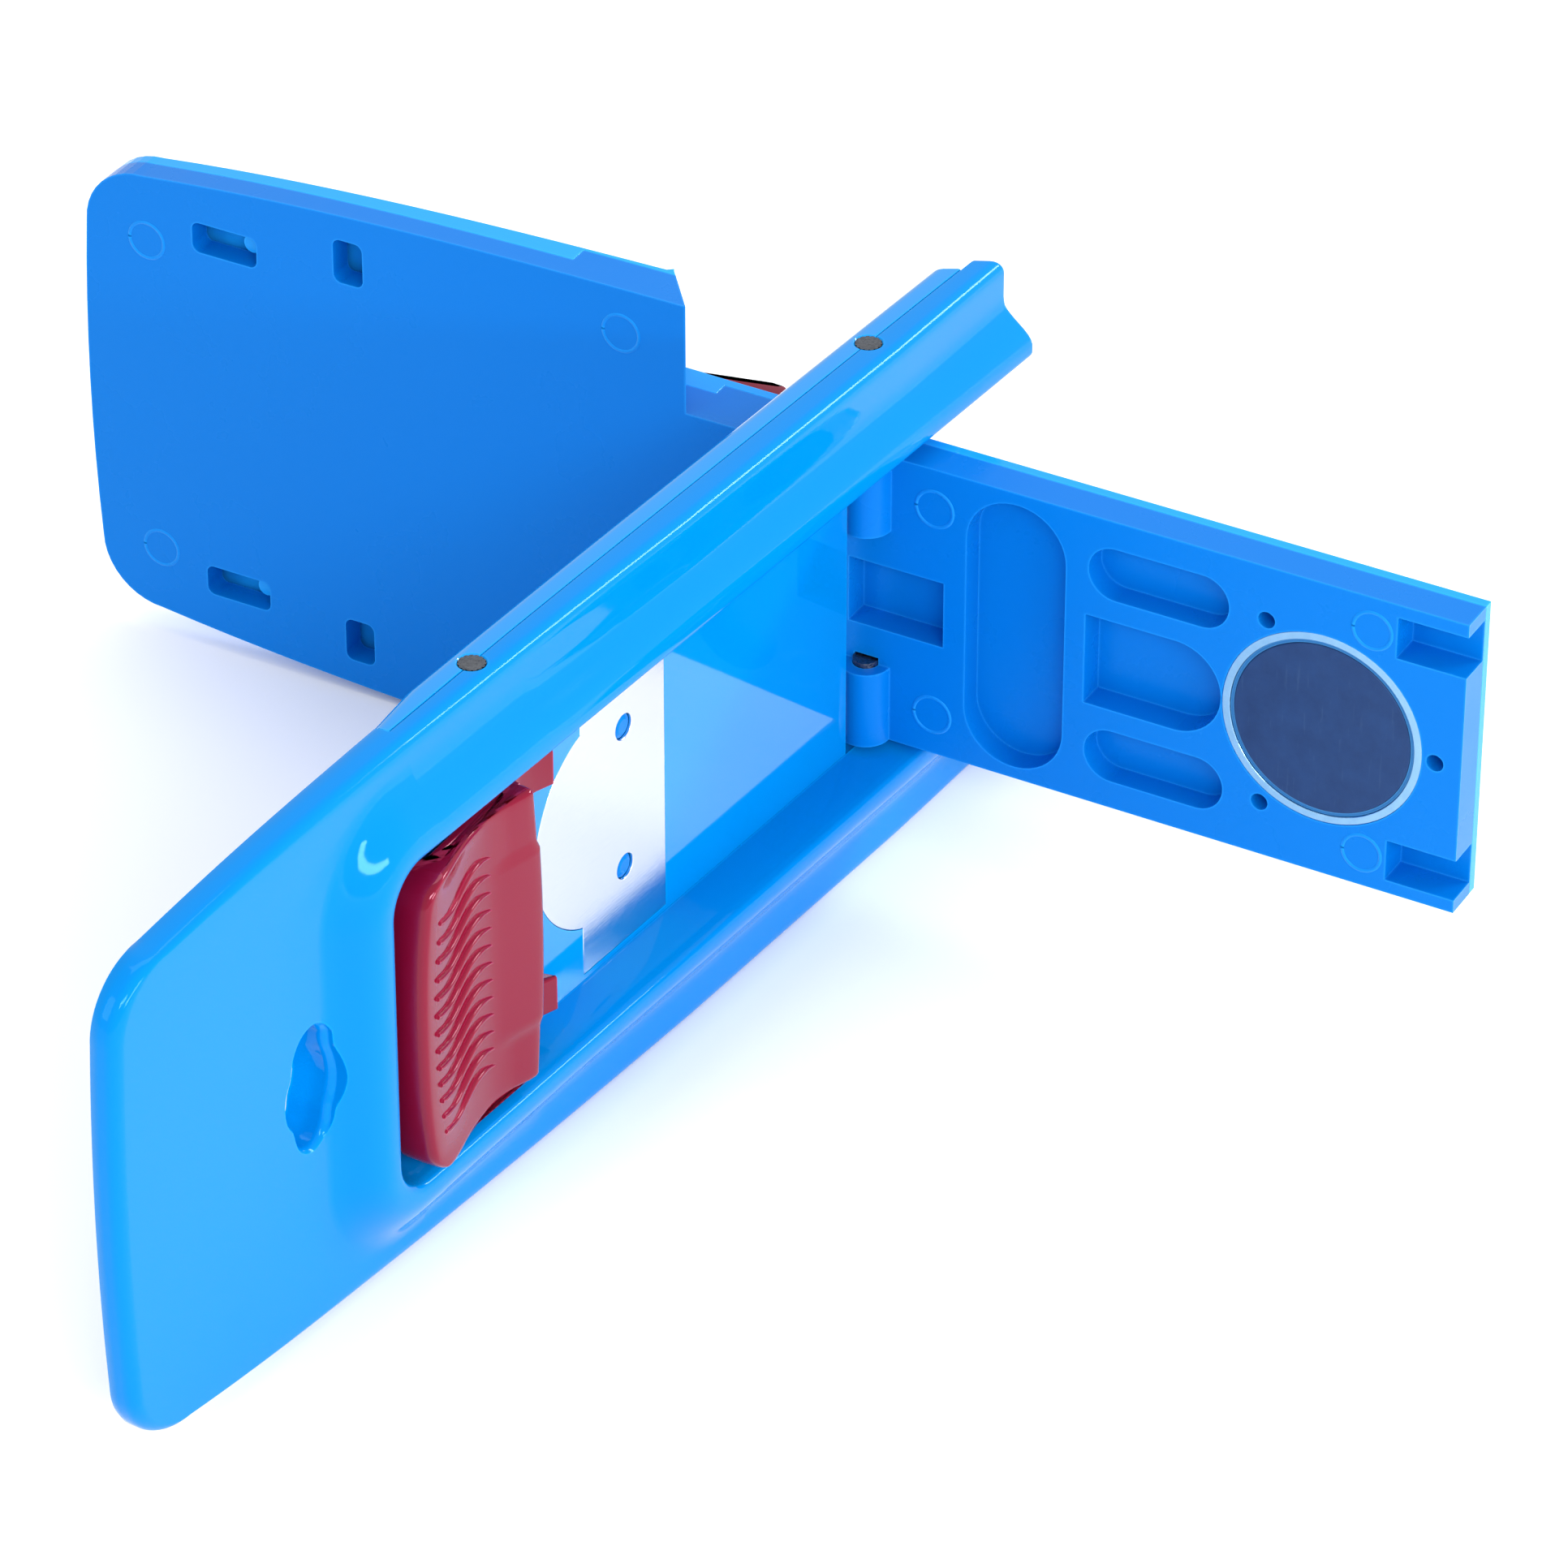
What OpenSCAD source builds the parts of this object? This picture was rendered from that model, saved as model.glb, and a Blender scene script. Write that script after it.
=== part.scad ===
// Folding magnet-latch cleaning pad frame: two wings on one hinge, standing on their long edges.
// Both wings are drawn in the frame's flat state, +X along the frame from the long wing's free end,
// +Y across it and +Z up from its underside, and are then stood up and opened.

/* [Frame] */
// Length of the flat frame, end to end
frame_length = 400; // [390:1:405]
// Half of the frame's width at its middle
half_width = 54; // [53:0.5:56]
// How much narrower each long edge is at the ends
edge_bow = 7.5; // [4:0.5:9]
// Corner radius of the free ends
corner_r = 13; // [8:1:18]
// How far the short wing is turned out of the flat state
open_angle = 94; // [60:1:120]

/* [Thickness] */
// Wing thickness near the middle
wing_t = 11; // [10.5:0.25:11.5]
// Wing thickness at the free ends
end_t = 7.6; // [7:0.2:9]
// Height of the raised body round the recess
rim_t = 15.3; // [15:0.1:16]
// Height of the recess floor
floor_t = 4.95; // [4.8:0.05:5]

/* [Hinge] */
// Height of the hinge axis above the underside
pin_lift = 5; // [5:0.1:5.2]
// Radius of the hinge and pedal pins
pin_r = 2.5; // [2:0.1:2.6]
// Radius of the short wing's hinge barrels
barrel_r = 4.9; // [4:0.1:4.9]

/* [Latch] */
// Radius of the magnet
magnet_r = 17.6; // [15:0.1:17.6]
// Thickness of the strike plate
strike_t = 1.2; // [0.8:0.1:1.5]

/* [Handle joint] */
// Bore radius of the handle socket
socket_r = 11; // [10:0.1:11.2]
// Length of the handle socket
socket_len = 48; // [40:1:50]

/* [Hidden] */
$fn = 64;

slack = 0.05;                        // running clearance of the pins
gap = 0.2;                           // clearance between faces that meet when flat
hinge_x = 0;
end_x = -232.3;                      // free end of the long wing
far_x = end_x + frame_length;        // free end of the short wing
mid_x = (end_x + far_x) / 2;
body_half = 31;                      // half width of the narrow half and neck
recess_half = 32;                    // half width of the recess at its floor
window_x = -6.8;                     // end of the recess floor at the window
tip_x = -121;                        // tip of the short wing's narrow half
recess_x = -163.3;                   // end of the recess behind the pedal
base_x = -150;                       // end of the long wing's base plate
base_gap = 0.05;
narrow_z = floor_t + gap;            // underside of the narrow half
narrow_top = 14.3;
cover_z = 12.2;                      // parting height on the narrow half
wide_cover_z = 5.1;                  // parting height on the wide half
prong_x = [32.8, 39.5, 41.3];        // prong tip at the underside, wing top and rim
pedal_x = -125.6;                    // pedal pin
pedal_half = 31;
pad_x = -161.4;                      // free edge of the pedal's pad
clamp_shift = 181.4;                 // from the release pedal to the cloth clamp
clamp_lift = 1.4;                    // cloth clamp pin above the hinge height
clamp_half = 27.2;                   // half width of the well under the cloth clamp
magnet_x = -93.2;
cup_r = 20;
joint_x = -31;                       // centre of the handle joint
joint_z = 28;                        // height of its axle
axle_r = 4;
cross_r = 3;
tube_r = socket_r + 2;
far = 200;

function half_at(x) = half_width - edge_bow * pow(abs(x - mid_x) / 200, 4);
function top_at(x) = wing_t - (wing_t - end_t) * max(0, abs(x - mid_x) - 35) / 165;

// One rounded end of the frame: side is -1 at the long wing and 1 at the short wing
function end_curve(side) =
    let (x0 = side < 0 ? end_x : far_x, cx = x0 - side * (corner_r + 1.2),
         cy = half_at(cx) - corner_r)
    [for (a = [0:9:81]) [cx + side * corner_r * sin(a), cy + corner_r * cos(a)],
     for (t = [1:-0.25:-1]) [x0 - side * 1.2 * t * t, cy * t],
     for (a = [81:-9:0]) [cx + side * corner_r * sin(a), -cy - corner_r * cos(a)]];

// Plan of one wing, from its end curve to a straight cut at x
module wing_plan(side, x) {
    start = (side < 0 ? end_x : far_x) - side * (corner_r + 1.2);
    edge = [for (k = [1:16]) start + (x - start) * k / 16];
    polygon([for (k = [15:-1:0]) [edge[k], half_at(edge[k])],
             each end_curve(side),
             for (k = [0:15]) [edge[k], -half_at(edge[k])]]);
}

module lengthwise(points, half = 80) {
    rotate([90, 0, 0]) linear_extrude(2 * half, center = true) polygon(points);
}

module crosswise(points, x0, x1) {
    translate([x0, 0, 0]) rotate([90, 0, 90]) linear_extrude(x1 - x0) polygon(points);
}

module slab(x0, x1, y0, y1, z0, z1) {
    translate([x0, y0, z0]) cube([x1 - x0, y1 - y0, z1 - z0]);
}

module both_sides() {
    children();
    mirror([0, 1, 0]) children();
}

// A cylinder along Y from y0 to y1
module cross_rod(x, z, r, y0, y1) {
    translate([x, y1, z]) rotate([90, 0, 0]) cylinder(h = y1 - y0, r = r);
}

// A cylinder along X from x0 to x1
module long_rod(y, z, r, x0, x1) {
    translate([x0, y, z]) rotate([0, 90, 0]) cylinder(h = x1 - x0, r = r);
}

// A pocket with two round ends, its corners at the given limits
module stadium(x0, x1, y0, y1, z0, z1) {
    r = min(x1 - x0, y1 - y0) / 2;
    translate([0, 0, z0]) linear_extrude(z1 - z0) {
        translate([x0 + r, y0 + r]) circle(r);
        translate([x1 - r, y1 - r]) circle(r);
        if (x1 - x0 > y1 - y0) translate([x0 + r, y0]) square([x1 - x0 - 2 * r, y1 - y0]);
        else translate([x0, y0 + r]) square([x1 - x0, y1 - y0 - 2 * r]);
    }
}

module stand() {
    translate([-bbox_mid[0], -bbox_mid[1], half_width])
        translate([0, pin_lift, 0]) rotate([90, 0, 0]) children();
}

// The opened state turns the short wing about the hinge axis
module open_out() {
    translate([-bbox_mid[0], -bbox_mid[1], half_width])
        rotate([0, 0, open_angle]) translate([0, pin_lift, 0]) rotate([90, 0, 0]) children();
}

// Middle of the standing part's footprint, from its outermost faces
function turned(p) = [p[0] * cos(open_angle) - p[1] * sin(open_angle),
                      p[0] * sin(open_angle) + p[1] * cos(open_angle)];
bbox_mid = [(end_x + prong_x[2]) / 2, (turned([far_x, pin_lift])[1] + turned([tip_x, -9.3])[1]) / 2];

// ---------------------------------------------------------------- long wing

module recess(z0) {
    wall = 1.5;
    r = 8;
    intersection() {
        crosswise([[-recess_half, z0], [recess_half, z0],
                   [recess_half + wall, rim_t + 1], [-recess_half - wall, rim_t + 1]],
                  recess_x, 60);
        translate([0, 0, z0]) linear_extrude(30) {
            translate([recess_x + r, -40]) square([80 - recess_x, 80]);
            translate([recess_x, -recess_half - wall + r]) square([r, 2 * (recess_half + wall - r)]);
            for (s = [-1, 1]) translate([recess_x + r, s * (recess_half + wall - r)]) circle(r);
        }
    }
}

// Plan of the strike plate, grown by edge
module strike_plan(edge) {
    translate([-93.5 - edge, -30.8 - edge]) square([26.5 + 2 * edge, 61.6 + 2 * edge]);
    intersection() {
        translate([-86, 0]) circle(22 + edge);
        translate([-120, -30]) square([40, 60]);
    }
}

module hang_hole() {
    stadium(-181.2, -175, -12.4, 12.4, -1, 20);
    translate([-181.8, 0, -1]) cylinder(h = 21, r = 5.4);
}

module wing_pins_bore() {
    for (x = [hinge_x, pedal_x]) cross_rod(x, pin_lift, pin_r + 0.01, -70, 70);
}

module long_wing_shell() {
    color("deepskyblue") stand() difference() {
        union() {
            intersection() {
                linear_extrude(30) wing_plan(-1, prong_x[2]);
                lengthwise([[end_x - 5, 1.5], [base_x - base_gap, 1.5], [base_x - base_gap, pin_lift],
                            [prong_x[0] + 3.3, pin_lift], [prong_x[1] + 0.7, wing_t],
                            [mid_x - 35, wing_t], [end_x - 5, top_at(end_x - 5)]]);
            }
            intersection() {
                lengthwise([[-174, 8], [-167.5, rim_t], [prong_x[2], rim_t],
                            [prong_x[1], wing_t - 1], [-174, 8]]);
                crosswise([[-44, 8], [-37.8, rim_t], [37.8, rim_t], [44, 8]], -175, 42);
            }
        }
        recess(floor_t);
        hang_hole();
        wing_pins_bore();
    }
}

module long_wing_base() {
    color("dodgerblue") stand() difference() {
        intersection() {
            linear_extrude(floor_t) wing_plan(-1, prong_x[2]);
            lengthwise([[base_x, 1.4], [base_x + 12, 0], [prong_x[0], 0], [prong_x[0] + 3.2, floor_t],
                        [base_x, floor_t]]);
        }
        slab(window_x, 60, -recess_half - 0.5, recess_half + 0.5, -1, 8);
        lengthwise([[window_x - 5.2, -0.01], [window_x + 1, -0.01], [window_x + 1, floor_t - 1],
                    [window_x, floor_t - 1]], recess_half + 0.5);
        translate([0, 0, floor_t - strike_t - 0.05]) linear_extrude(5) strike_plan(0.1);
        slab(pedal_x - 4.6, pedal_x + 4.4, -31.5, 31.5, -1, 8);
        for (s = [-1, 1]) translate([-80, 15 * s, 1]) cylinder(h = 9, r = 2.4);
        wing_pins_bore();
    }
}

module strike_plate() {
    color("lightgray") stand() translate([0, 0, floor_t - strike_t]) linear_extrude(strike_t)
        difference() {
            strike_plan(0);
            for (s = [-1, 1]) translate([-80, 15 * s]) circle(2.5);
        }
}

module strike_rivets() {
    color("deepskyblue") stand() for (s = [-1, 1]) translate([-80, 15 * s, 1.02]) {
        cylinder(h = floor_t - 1.6, r = 2.35);
        translate([0, 0, floor_t - 1.6]) cylinder(h = 0.5, r1 = 2.35, r2 = 1.4);
    }
}

// A knurled pin along Y: a plain shank with small flutes cut in its outer end
module knurled_pin(x, z, r, y0, y1) {
    difference() {
        cross_rod(x, z, r, y0, y1);
        for (a = [0:24:359])
            translate([x + r * cos(a), 0, z + r * sin(a)]) cross_rod(0, 0, 0.22, y1 - 5, y1 + 1);
    }
}

module hinge_pins() {
    color("dimgray") stand() both_sides() knurled_pin(hinge_x, pin_lift, pin_r, 14, half_at(0) - 0.1);
}

module pedal_pins() {
    color("dimgray") stand() both_sides()
        knurled_pin(pedal_x, pin_lift, pin_r, 8, half_at(pedal_x) - 0.1);
}

// Torsion spring: closed coils round a pin, with one leg under the pad and one on the floor
module torsion_spring(x, z) {
    wire = 0.4;
    translate([x, 14.7, z]) rotate([90, 0, 0]) rotate_extrude()
        for (k = [0:6]) translate([2.95, k * 0.75]) circle(wire, $fn = 16);
    long_rod(10.2, z + 2.9, wire - 0.05, x - 9, x);
    long_rod(14.7, z + 2.9, wire - 0.05, x - 7, x);
}

module pedal_spring() {
    color("silver") stand() torsion_spring(pedal_x, pin_lift);
}

// ---------------------------------------------------------------- pedals

// Side view of a foot pad: raised lip, dished middle and crest, in the release pedal's place
pad_top = [[-161.9, 13.5], [-161.6, 16.8], [-160.2, 18.3], [-158, 18.8], [-155, 18.5],
           [-150, 17.4], [-145, 16.1], [-140, 15], [-135, 14.3], [-131, 14.3], [-127, 14.9],
           [-122.8, 15.7], [-122.2, 15.2], [-122.2, 10.4]];
pad_under = [[-125, 10.4], [-126, 11.4], [-133, 11], [-145, 12.4], [-156.5, 14.6], [-158.5, 11],
             [-161.5, 11]];

module pad_block(half) {
    intersection() {
        lengthwise(concat(pad_top, pad_under), half);
        translate([0, 0, -5]) linear_extrude(40) {
            r = 6.5;
            translate([pad_x + r, -half]) square([60, 2 * half]);
            translate([pad_x, -half + r]) square([r, 2 * (half - r)]);
            for (s = [-1, 1]) translate([pad_x + r, s * (half - r)]) circle(r);
        }
    }
}

// Foot pedal with its pivot at pivot_z, rocking on its pin; fingers reach under the other wing
module foot_pedal(pivot_z, inner_half, fingers) {
    difference() {
        union() {
            pad_block(pedal_half - 0.4);
            both_sides() {
                lengthwise_web(pivot_z, inner_half);
                cross_rod(pedal_x, pivot_z, 3.9, inner_half - 10, inner_half);
                if (fingers) finger();
            }
            for (k = [0:12]) pad_rib(-24.5 + 3.7 * k);
        }
        cross_rod(pedal_x, pivot_z, pin_r + slack, -50, 50);
    }
}

// Side web that joins the pad to its pivot
module lengthwise_web(pivot_z, inner_half) {
    translate([0, inner_half - 1.4, 0]) lengthwise([[-158, 11.5], [-156, 14.4], [-145, 13], [-133, 12.5],
        [-124, 12.5], [-122.2, 10.5], [pedal_x + 3.4, pivot_z + 1], [pedal_x - 3.4, pivot_z + 1.5],
        [-140, 10.2]], 1.4);
}

module finger() {
    translate([0, 24, 0]) lengthwise([[-123.4, 10.6], [-119, 7.6], [-113, 8.4], [-108.4, 9.6],
        [-108.2, 9], [-108.8, 6.4], [-113, 5.5], [-122, 5.4], [-124, 8]], 3.6);
}

// One raised grip rib across the pad, following its dish
module pad_rib(y) {
    steps = 6;
    for (k = [0:steps - 1]) {
        x = -150 + 16 * (k + 0.5) / steps;
        translate([x, y + 5 * k / steps, pad_height(x) - 0.3]) rotate([0, 0, 17])
            translate([-1.6, -0.55, 0]) cube([3.2, 1.1, 0.9]);
    }
}

function pad_height(x) = lookup(x, [for (k = [3:11]) pad_top[k]]);

module release_pedal() {
    color("crimson") stand() foot_pedal(pin_lift, pedal_half - 0.5, true);
}

module cloth_clamp() {
    inside = clamp_half - 0.4;
    color("crimson") open_out() translate([clamp_shift, 0, -0.4]) intersection() {
        foot_pedal(pin_lift + clamp_lift + 0.4, inside, false);
        union() {
            slab(-170, -110, -inside, inside, 0, 30);
            slab(-170, -140, -pedal_half, pedal_half, 15, 30);
        }
    }
}

module clamp_pins() {
    color("dimgray") open_out() both_sides()
        cross_rod(pedal_x + clamp_shift, pin_lift + clamp_lift, pin_r, 8, 35.5);
}

module clamp_spring() {
    color("silver") open_out() torsion_spring(pedal_x + clamp_shift, pin_lift + clamp_lift);
}

// ---------------------------------------------------------------- short wing

// Everything of the short wing's plan: wide half, neck and narrow half
module short_plan_solid(z0, z1) {
    intersection() {
        translate([0, 0, z0]) linear_extrude(z1 - z0) wing_plan(1, 30);
        lengthwise([[35.3, -1], [35.3, 0], [43.9, 10.8], [43.9, 40], [far, 40], [far, -1]]);
    }
    slab(tip_x, 60, -body_half, body_half, z0, z1);
}

module clamp_well() {
    slab(19, 65, -clamp_half, clamp_half, 2.1, 40);
}

// A rectangular hole with rounded corners
module rounded_slot(x0, x1, y0, y1, z0, z1) {
    r = 1.6;
    translate([0, 0, z0]) linear_extrude(z1 - z0) {
        translate([x0 + r, y0]) square([x1 - x0 - 2 * r, y1 - y0]);
        translate([x0, y0 + r]) square([x1 - x0, y1 - y0 - 2 * r]);
        for (x = [x0 + r, x1 - r], y = [y0 + r, y1 - r]) translate([x, y]) circle(r);
    }
}

module wide_slots() {
    both_sides() {
        rounded_slot(128.3, 142.6, 35.2, 41.6, -1, wide_cover_z + 3);
        rounded_slot(104.8, 111.2, 37.6, 46.8, -1, wide_cover_z + 3);
    }
}

module short_wing_base() {
    color("dodgerblue") open_out() difference() {
        union() {
            intersection() {
                short_plan_solid(0, 20);
                lengthwise([[tip_x, narrow_z], [15, narrow_z], [18, 0], [far, 0], [far, wide_cover_z],
                            [62, wide_cover_z], [62, 9], [34, 9], [34, cover_z], [tip_x, cover_z]]);
            }
            both_sides() cross_rod(hinge_x, pin_lift, barrel_r, 15, body_half);
        }
        both_sides() cross_rod(hinge_x, pin_lift, pin_r + slack, 13.6, 50);
        clamp_well();
        cross_rod(pedal_x + clamp_shift, pin_lift + clamp_lift, pin_r + 0.01, -35.6, 35.6);
        wide_slots();
        stadium(-41, -20.6, -28.5, 28.5, 0, 10.2);
        both_sides() stadium(-74, -45.6, 14.2, 25.2, 0, 10.2);
        slab(-16, 3.8, -7, 7, -2, 11);
        stadium(-73, -50, -9.6, 9.6, 0, 11);
        slab(-64, -45.2, -9.6, 9.6, 0, 11);
        both_sides() translate([-81.5, 19.7, 0]) cylinder(h = 9, r = 1.7);
        translate([-115.8, 0, 0]) cylinder(h = 9, r = 1.7);
        translate([magnet_x, 0, 0]) cylinder(h = narrow_z + 6.1, r = cup_r + 0.02);
        both_sides() slab(tip_x - 1, -107.2, 19.7, 28.3, 0, 11.9);
    }
}

// Housing on the cover that the handle joint's axle turns in
module joint_housing() {
    slab(joint_x + 12, joint_x + 34, -6.9, 6.9, narrow_top - 1, joint_z);
    long_rod(0, joint_z, 7.4, joint_x + 12, joint_x + 34);
}

module short_wing_cover() {
    color("deepskyblue") open_out() {
        cover_shell();
        both_sides() translate([131, 38.4, 3]) cylinder(h = 4.2, r = 1.9);
    }
}

module cover_shell() {
    part_gap = 0.05;
    difference() {
        union() {
            intersection() {
                short_plan_solid(0, 20);
                lengthwise([[tip_x, cover_z + part_gap], [34 + part_gap, cover_z + part_gap],
                            [34 + part_gap, 9 + part_gap], [62 + part_gap, 9 + part_gap],
                            [62 + part_gap, wide_cover_z + part_gap], [far, wide_cover_z + part_gap],
                            [far, top_at(far)], [45, top_at(45)], [40, narrow_top], [tip_x, narrow_top]]);
            }
            intersection() {
                lengthwise([[38, 9.5], [38, narrow_top - 0.1], [40, narrow_top + 0.2],
                            [64, narrow_top + 0.2], [72.5, 9.3]]);
                crosswise([[-44, 8], [-37.8, rim_t], [37.8, rim_t], [44, 8]], 37, 75);
                short_plan_solid(0, 30);
            }
            joint_housing();
        }
        clamp_well();
        cross_rod(pedal_x + clamp_shift, pin_lift + clamp_lift, pin_r + 0.01, -35.6, 35.6);
        both_sides() slab(126, 145, 33, 44, wide_cover_z - 1, wide_cover_z + 1.4);
        both_sides() slab(102, 114, 35, 48, wide_cover_z - 1, wide_cover_z + 1.4);
        long_rod(0, joint_z, axle_r + slack, joint_x, joint_x + 40);
    }
}

module magnet() {
    color("midnightblue") open_out() translate([magnet_x, 0, narrow_z + 0.2])
        cylinder(h = 4.3, r = magnet_r);
}

module magnet_sleeve() {
    color("royalblue") open_out() translate([magnet_x, 0, narrow_z + 0.4]) difference() {
        cylinder(h = 4, r = magnet_r + 0.75);
        translate([0, 0, -1]) cylinder(h = 6, r = magnet_r + 0.05);
    }
}

module magnet_cup() {
    color("lightgray") open_out() translate([magnet_x, 0, narrow_z + 0.1]) difference() {
        cylinder(h = 6, r = cup_r);
        translate([0, 0, -0.01]) cylinder(h = 4.5, r = magnet_r + 0.8);
    }
}

// ---------------------------------------------------------------- handle joint

module joint_axle() {
    color("crimson") open_out() long_rod(0, joint_z, axle_r, joint_x - 5, joint_x + 37.5);
}

module ring_along(x0, x1, r_in, r_out) {
    difference() {
        long_rod(0, joint_z, r_out, x0, x1);
        long_rod(0, joint_z, r_in, x0 - 1, x1 + 1);
    }
}

module axle_clip() {
    color("silver") open_out() ring_along(joint_x + 35.4, joint_x + 36.2, axle_r + 0.01, 6.2);
}

module axle_washers() {
    color("silver") open_out() for (x = [10.9, 34.3])
        ring_along(joint_x + x, joint_x + x + 0.8, axle_r + 0.02, 7);
}

module joint_yoke() {
    color("crimson") open_out() difference() {
        union() {
            long_rod(0, joint_z, 7.2, joint_x, joint_x + 10.6);
            cross_rod(joint_x, joint_z, 7.6, -7.8, 7.8);
        }
        long_rod(0, joint_z, axle_r + 0.01, joint_x - 5.1, joint_x + 20);
        both_sides() cross_rod(joint_x, joint_z, cross_r + 0.01, 4.5, 9);
    }
}

module cross_pins() {
    color("silver") open_out() both_sides() cross_rod(joint_x, joint_z, cross_r, 4.6, 12);
}

module handle_socket() {
    fork = 27;
    color("crimson") open_out() difference() {
        union() {
            both_sides() {
                cross_rod(joint_x, joint_z, 5.4, 8.1, 12);
                slab(joint_x - fork - 2, joint_x, 8.1, 12, joint_z - 5.4, joint_z + 5.4);
            }
            intersection() {
                long_rod(0, joint_z, tube_r, joint_x - fork - socket_len, joint_x - fork);
                union() {
                    long_rod(0, joint_z, tube_r - 0.8, joint_x - fork - socket_len, joint_x - fork);
                    long_rod(0, joint_z, tube_r, joint_x - fork - socket_len + 1, joint_x - fork - 1);
                }
            }
        }
        both_sides() cross_rod(joint_x, joint_z, cross_r + slack, 7, 13);
        long_rod(0, joint_z, socket_r, joint_x - fork - socket_len - 1, joint_x - fork - 3);
        translate([joint_x - fork - socket_len + 10, 0, joint_z + 8]) cylinder(h = 8, r = 1.8);
    }
}

module socket_screw() {
    color("silver") open_out() translate([joint_x - 27 - socket_len + 10, 0, joint_z + 11.2])
        cylinder(h = 1.7, r = 1.78);
}

long_wing_shell();
long_wing_base();
strike_plate();
strike_rivets();
hinge_pins();
release_pedal();
pedal_pins();
pedal_spring();
short_wing_base();
short_wing_cover();
magnet();
magnet_sleeve();
magnet_cup();
cloth_clamp();
clamp_pins();
clamp_spring();
joint_axle();
axle_clip();
axle_washers();
joint_yoke();
cross_pins();
handle_socket();
socket_screw();
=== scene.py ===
"""Folding cleaning-pad frame: smooth shells, pedals, procedural materials, studio light and camera."""
import math

import bmesh
import bpy
from mathutils import Matrix, Vector


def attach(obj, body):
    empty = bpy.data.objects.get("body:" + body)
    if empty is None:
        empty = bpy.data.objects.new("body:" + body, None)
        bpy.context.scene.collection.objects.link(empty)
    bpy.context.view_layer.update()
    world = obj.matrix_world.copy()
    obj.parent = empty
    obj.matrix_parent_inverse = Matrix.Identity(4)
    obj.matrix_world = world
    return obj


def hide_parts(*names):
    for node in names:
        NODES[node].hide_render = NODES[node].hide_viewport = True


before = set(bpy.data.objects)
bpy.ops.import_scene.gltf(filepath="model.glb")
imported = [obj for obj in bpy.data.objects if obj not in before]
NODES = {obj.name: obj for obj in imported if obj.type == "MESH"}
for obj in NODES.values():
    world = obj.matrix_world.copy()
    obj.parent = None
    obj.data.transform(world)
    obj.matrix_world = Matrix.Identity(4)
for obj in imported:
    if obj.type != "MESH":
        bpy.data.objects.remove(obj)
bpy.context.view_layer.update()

# ------------------------------------------------------------------ places, in mm
# x runs along the flat frame, y across it and lev is the height above its underside.
HALF_WIDTH = 54.0
PIN_LIFT = 5.0
HINGE = Vector((95.5, -23.443, HALF_WIDTH))
OPEN = math.radians(94)
END_X = -232.3
MID_X = -32.3
RIM_T = 15.3
FLOOR_T = 4.95
RECESS_X = -163.3
RECESS_HALF = 33.5
RECESS_R = 8.0
CORNER_R = 13.0
BASE_X = -150.0
TIP_X = 41.3
PEDAL_X = -125.6
CLAMP_SHIFT = 181.4
# the long wing's shell
LIP_R = 1.5
RIM_END = 14.0
EDGE_R = 2.6
TIP_R = 0.8
BOWED_END = 1.2
SHELL_LOW = 5.0
END_LOW = 1.5
SLOT_X = -178
# the long wing's base
BASE_EDGE = 2.3
RAMP_H = 1.4
RAMP_LENGTH = 12.0
PLATE_DEPTH = 1.25
LOBE_X = -86.0
LOBE_R = 22.1
RIVET_X = -80.0
RIVET_Y = 15.0
# the two pedals
PAD_LEFT = -161.3
PAD_LENGTH = 39.1
PAD_HALF = 30.6
PAD_R = 5.0
RIB_COUNT = 13
RIB_GAP = 3.66
RIB_R = 0.62
RIB_STEPS = 16
RING_R = 3.8
RING_W = 0.36
RING_H = 0.144
STUDIO_SIZE = 6.0


def half_at(x):
    """Half width of the frame at x."""
    return HALF_WIDTH - 7.5 * (abs(x - MID_X) / 200) ** 4


def top_at(x):
    """Height of the flange at x."""
    return 11 - 3.4 * max(0.0, abs(x - MID_X) - 35) / 165


def long_wing(p):
    """A flat-frame point on the long wing, in metres in the shared frame."""
    x, y, lev = p
    return Vector((x, PIN_LIFT - lev, y)) * 0.001 + HINGE * 0.001


def short_wing(p):
    """The same for the short wing, which is turned about the hinge."""
    x, y, lev = p
    return Matrix.Rotation(OPEN, 3, "Z") @ Vector((x, PIN_LIFT - lev, y)) * 0.001 + HINGE * 0.001


# ------------------------------------------------------------------ mesh helpers
def smooth_step(t):
    """0 to 1 with a level start and end."""
    t = min(1.0, max(0.0, t))
    return t * t * (3 - 2 * t)


def catmull(points, steps):
    """A smooth line through 2-D points."""
    out = []
    for i in range(len(points) - 1):
        p0 = points[max(i - 1, 0)]
        p1, p2 = points[i], points[i + 1]
        p3 = points[min(i + 2, len(points) - 1)]
        for k in range(steps):
            t = k / steps
            out.append(tuple(
                0.5 * (2 * b + (c - a) * t + (2 * a - 5 * b + 4 * c - d) * t * t
                       + (3 * b - a - 3 * c + d) * t ** 3)
                for a, b, c, d in zip(p0, p1, p2, p3)))
    out.append(points[-1])
    return out


def inset_loop(points, amount):
    """A closed 2-D loop moved inwards by amount."""
    n = len(points)
    area = sum(points[i][0] * points[(i + 1) % n][1] - points[(i + 1) % n][0] * points[i][1]
               for i in range(n))
    side = 1 if area > 0 else -1
    out = []
    for i in range(n):
        a, b = Vector(points[i - 1]), Vector(points[(i + 1) % n])
        d = b - a
        if d.length < 1e-9:
            out.append(tuple(points[i]))
            continue
        normal = Vector((-d.y, d.x)).normalized() * side
        out.append((points[i][0] + normal.x * amount, points[i][1] + normal.y * amount))
    return out


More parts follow.
